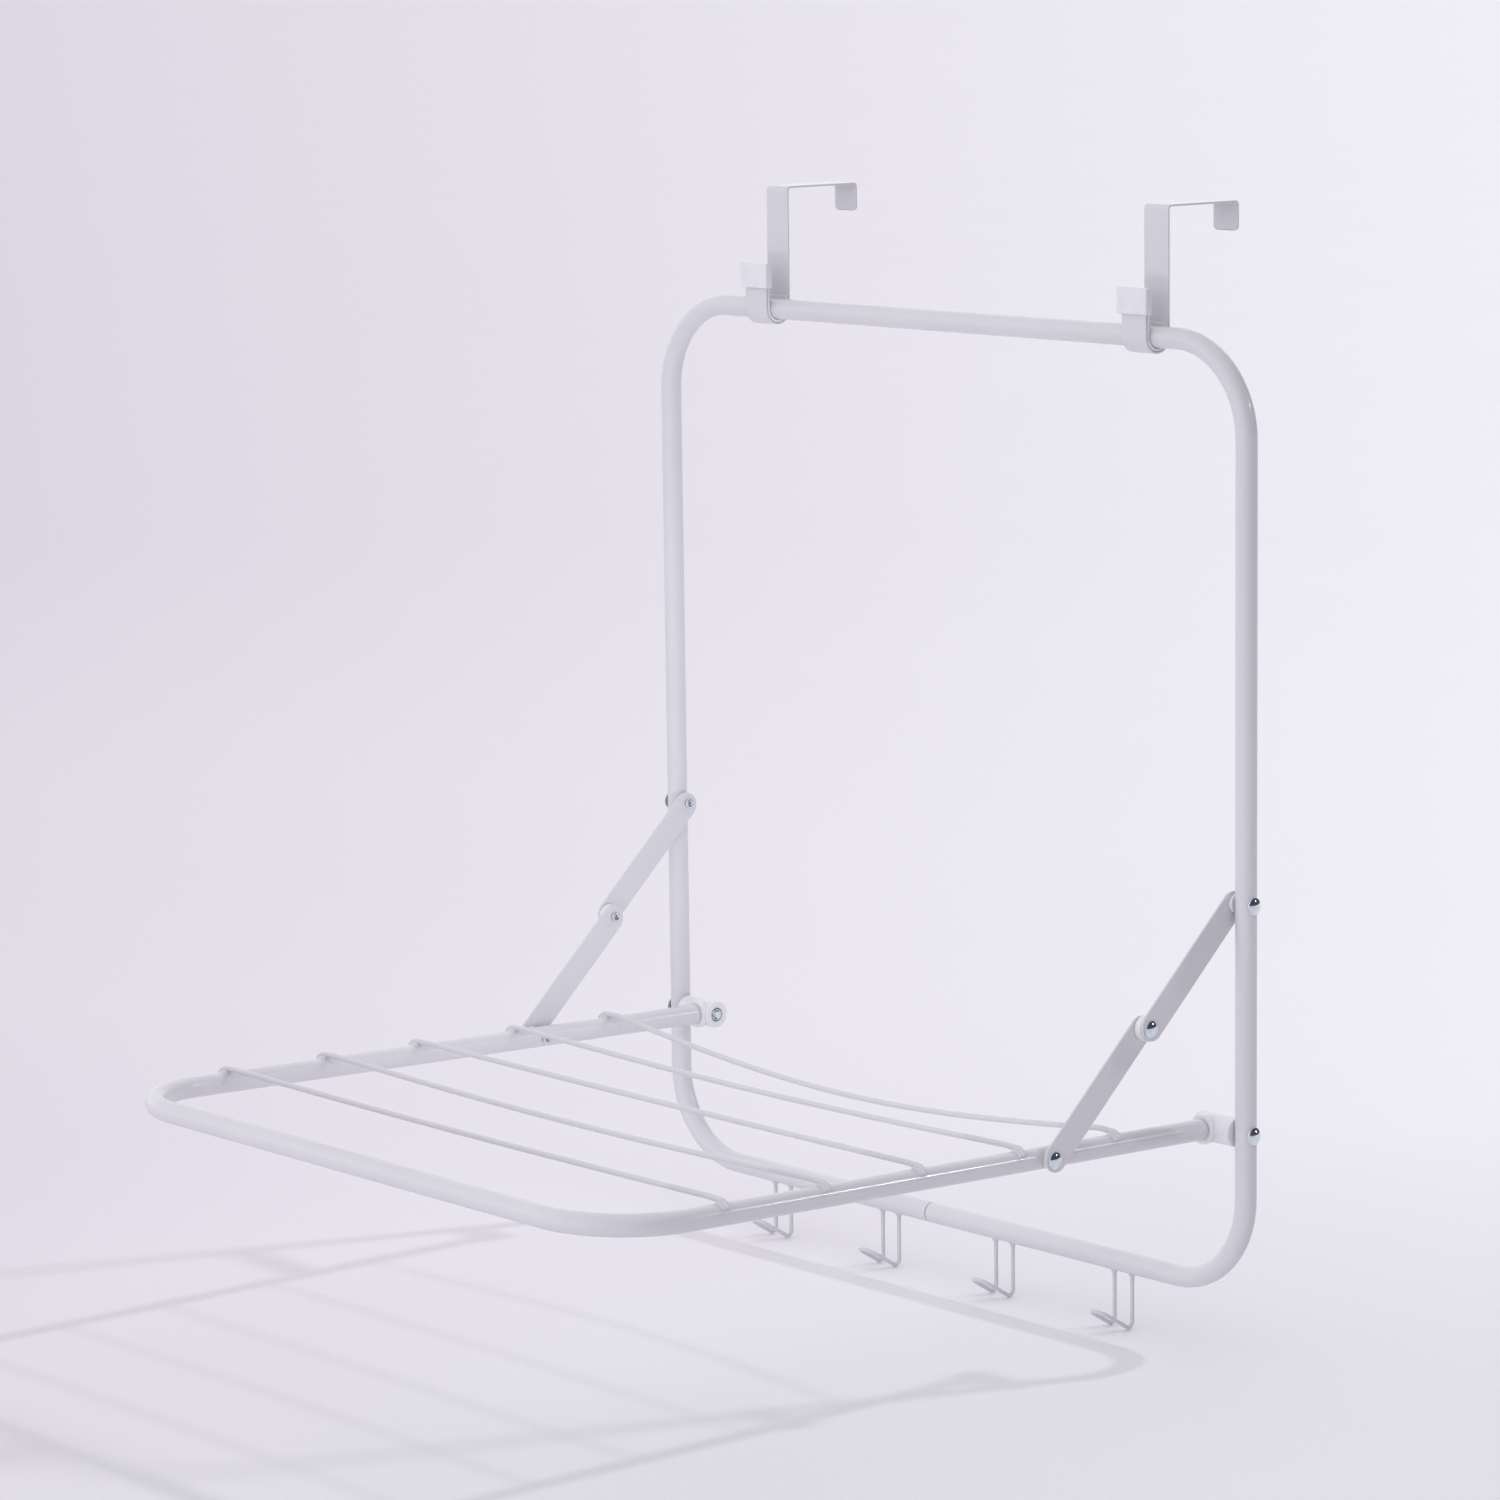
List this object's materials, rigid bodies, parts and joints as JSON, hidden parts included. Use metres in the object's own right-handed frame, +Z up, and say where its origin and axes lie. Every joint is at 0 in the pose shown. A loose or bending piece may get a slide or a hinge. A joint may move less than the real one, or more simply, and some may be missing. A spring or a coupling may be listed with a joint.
{
  "type": "over-door drying rack",
  "caption": "Over-door drying rack: closed tube frame on two strap hooks, with a cross-wired shelf that folds up on jointed side braces and wire garment hooks below.",
  "frame": {"origin": "front edge of the door top, midway across the back frame: the height of the underside of the hooks' top straps, on the plane of the straps' door-side faces", "axes": "+X along the door to the right seen from the room, +Y into the door, +Z up; the lowered shelf reaches out along -Y"},
  "size_m": [0.6646, 0.6645, 0.8399],
  "materials": {
    "white_paint": "glossy white powder coat on steel tube, strip and wire",
    "white_plastic": "satin white moulded plastic",
    "bright_zinc": "bright zinc plated, polished domed heads",
    "sleeve_steel": "bare drawn steel, hidden inside the bottom bar"
  },
  "bodies": {
    "back_frame": {"back_frame_tube": "white_paint", "frame_joint_sleeve": "sleeve_steel", "garment_hook_1": "white_paint", "garment_hook_2": "white_paint", "garment_hook_3": "white_paint", "garment_hook_4": "white_paint", "hinge_bolt_left": "bright_zinc", "hinge_nut_left": "bright_zinc", "brace_top_rivet_left": "bright_zinc", "brace_top_washer_left": "white_plastic", "hinge_bolt_right": "bright_zinc", "hinge_nut_right": "bright_zinc", "brace_top_rivet_right": "bright_zinc", "brace_top_washer_right": "white_plastic"},
    "shelf": {"shelf_frame_tube": "white_paint", "drying_wire_1": "white_paint", "drying_wire_2": "white_paint", "drying_wire_3": "white_paint", "drying_wire_4": "white_paint", "drying_wire_5": "white_paint", "end_joint_left": "white_plastic", "brace_bottom_rivet_left": "bright_zinc", "brace_bottom_washer_left": "white_plastic", "end_joint_right": "white_plastic", "brace_bottom_rivet_right": "bright_zinc", "brace_bottom_washer_right": "white_plastic"},
    "door_hook_left": {"hook_strap_left": "white_paint", "hook_clip_left": "white_plastic"},
    "brace_upper_left": {"brace_upper_link_left": "white_paint", "brace_mid_rivet_left": "bright_zinc", "brace_mid_spacer_left": "white_plastic"},
    "brace_lower_left": {"brace_lower_link_left": "white_paint", "brace_mid_rivet_tail_left": "bright_zinc"},
    "door_hook_right": {"hook_strap_right": "white_paint", "hook_clip_right": "white_plastic"},
    "brace_upper_right": {"brace_upper_link_right": "white_paint", "brace_mid_rivet_right": "bright_zinc", "brace_mid_spacer_right": "white_plastic"},
    "brace_lower_right": {"brace_lower_link_right": "white_paint", "brace_mid_rivet_tail_right": "bright_zinc"}
  },
  "joints": [
    {"name": "shelf_fold", "type": "hinge", "parent": "back_frame", "child": "shelf", "pos_m": [0, -0.0123, -0.67], "axis": [-1, 0, 0], "range_deg": [0, 86]},
    {"name": "brace_upper_pivot_left", "type": "hinge", "parent": "back_frame", "child": "brace_upper_left", "pos_m": [-0.3088, -0.0123, -0.5], "axis": [1, 0, 0], "range_deg": [0, 46.07]},
    {"name": "brace_lower_pivot_left", "type": "hinge", "parent": "shelf", "child": "brace_lower_left", "pos_m": [-0.3004, -0.18571, -0.66455], "axis": [-1, 0, 0], "range_deg": [0, 44.87]},
    {"name": "brace_upper_pivot_right", "type": "hinge", "parent": "back_frame", "child": "brace_upper_right", "pos_m": [0.3088, -0.0123, -0.5], "axis": [1, 0, 0], "range_deg": [0, 46.07]},
    {"name": "brace_lower_pivot_right", "type": "hinge", "parent": "shelf", "child": "brace_lower_right", "pos_m": [0.3004, -0.18571, -0.66455], "axis": [-1, 0, 0], "range_deg": [0, 44.87]},
    {"name": "door_hook_slide_left", "type": "slide", "parent": "back_frame", "child": "door_hook_left", "axis": [1, 0, 0], "range_m": [-0.03, 0.09]},
    {"name": "door_hook_slide_right", "type": "slide", "parent": "back_frame", "child": "door_hook_right", "axis": [1, 0, 0], "range_m": [-0.108, 0.012]}
  ],
  "couplings": [
    {"joint": "brace_upper_pivot_left", "follows": "shelf_fold", "ratio": 0.53507},
    {"joint": "brace_lower_pivot_left", "follows": "shelf_fold", "ratio": 0.52119},
    {"joint": "brace_upper_pivot_right", "follows": "shelf_fold", "ratio": 0.53507},
    {"joint": "brace_lower_pivot_right", "follows": "shelf_fold", "ratio": 0.52119}
  ]
}
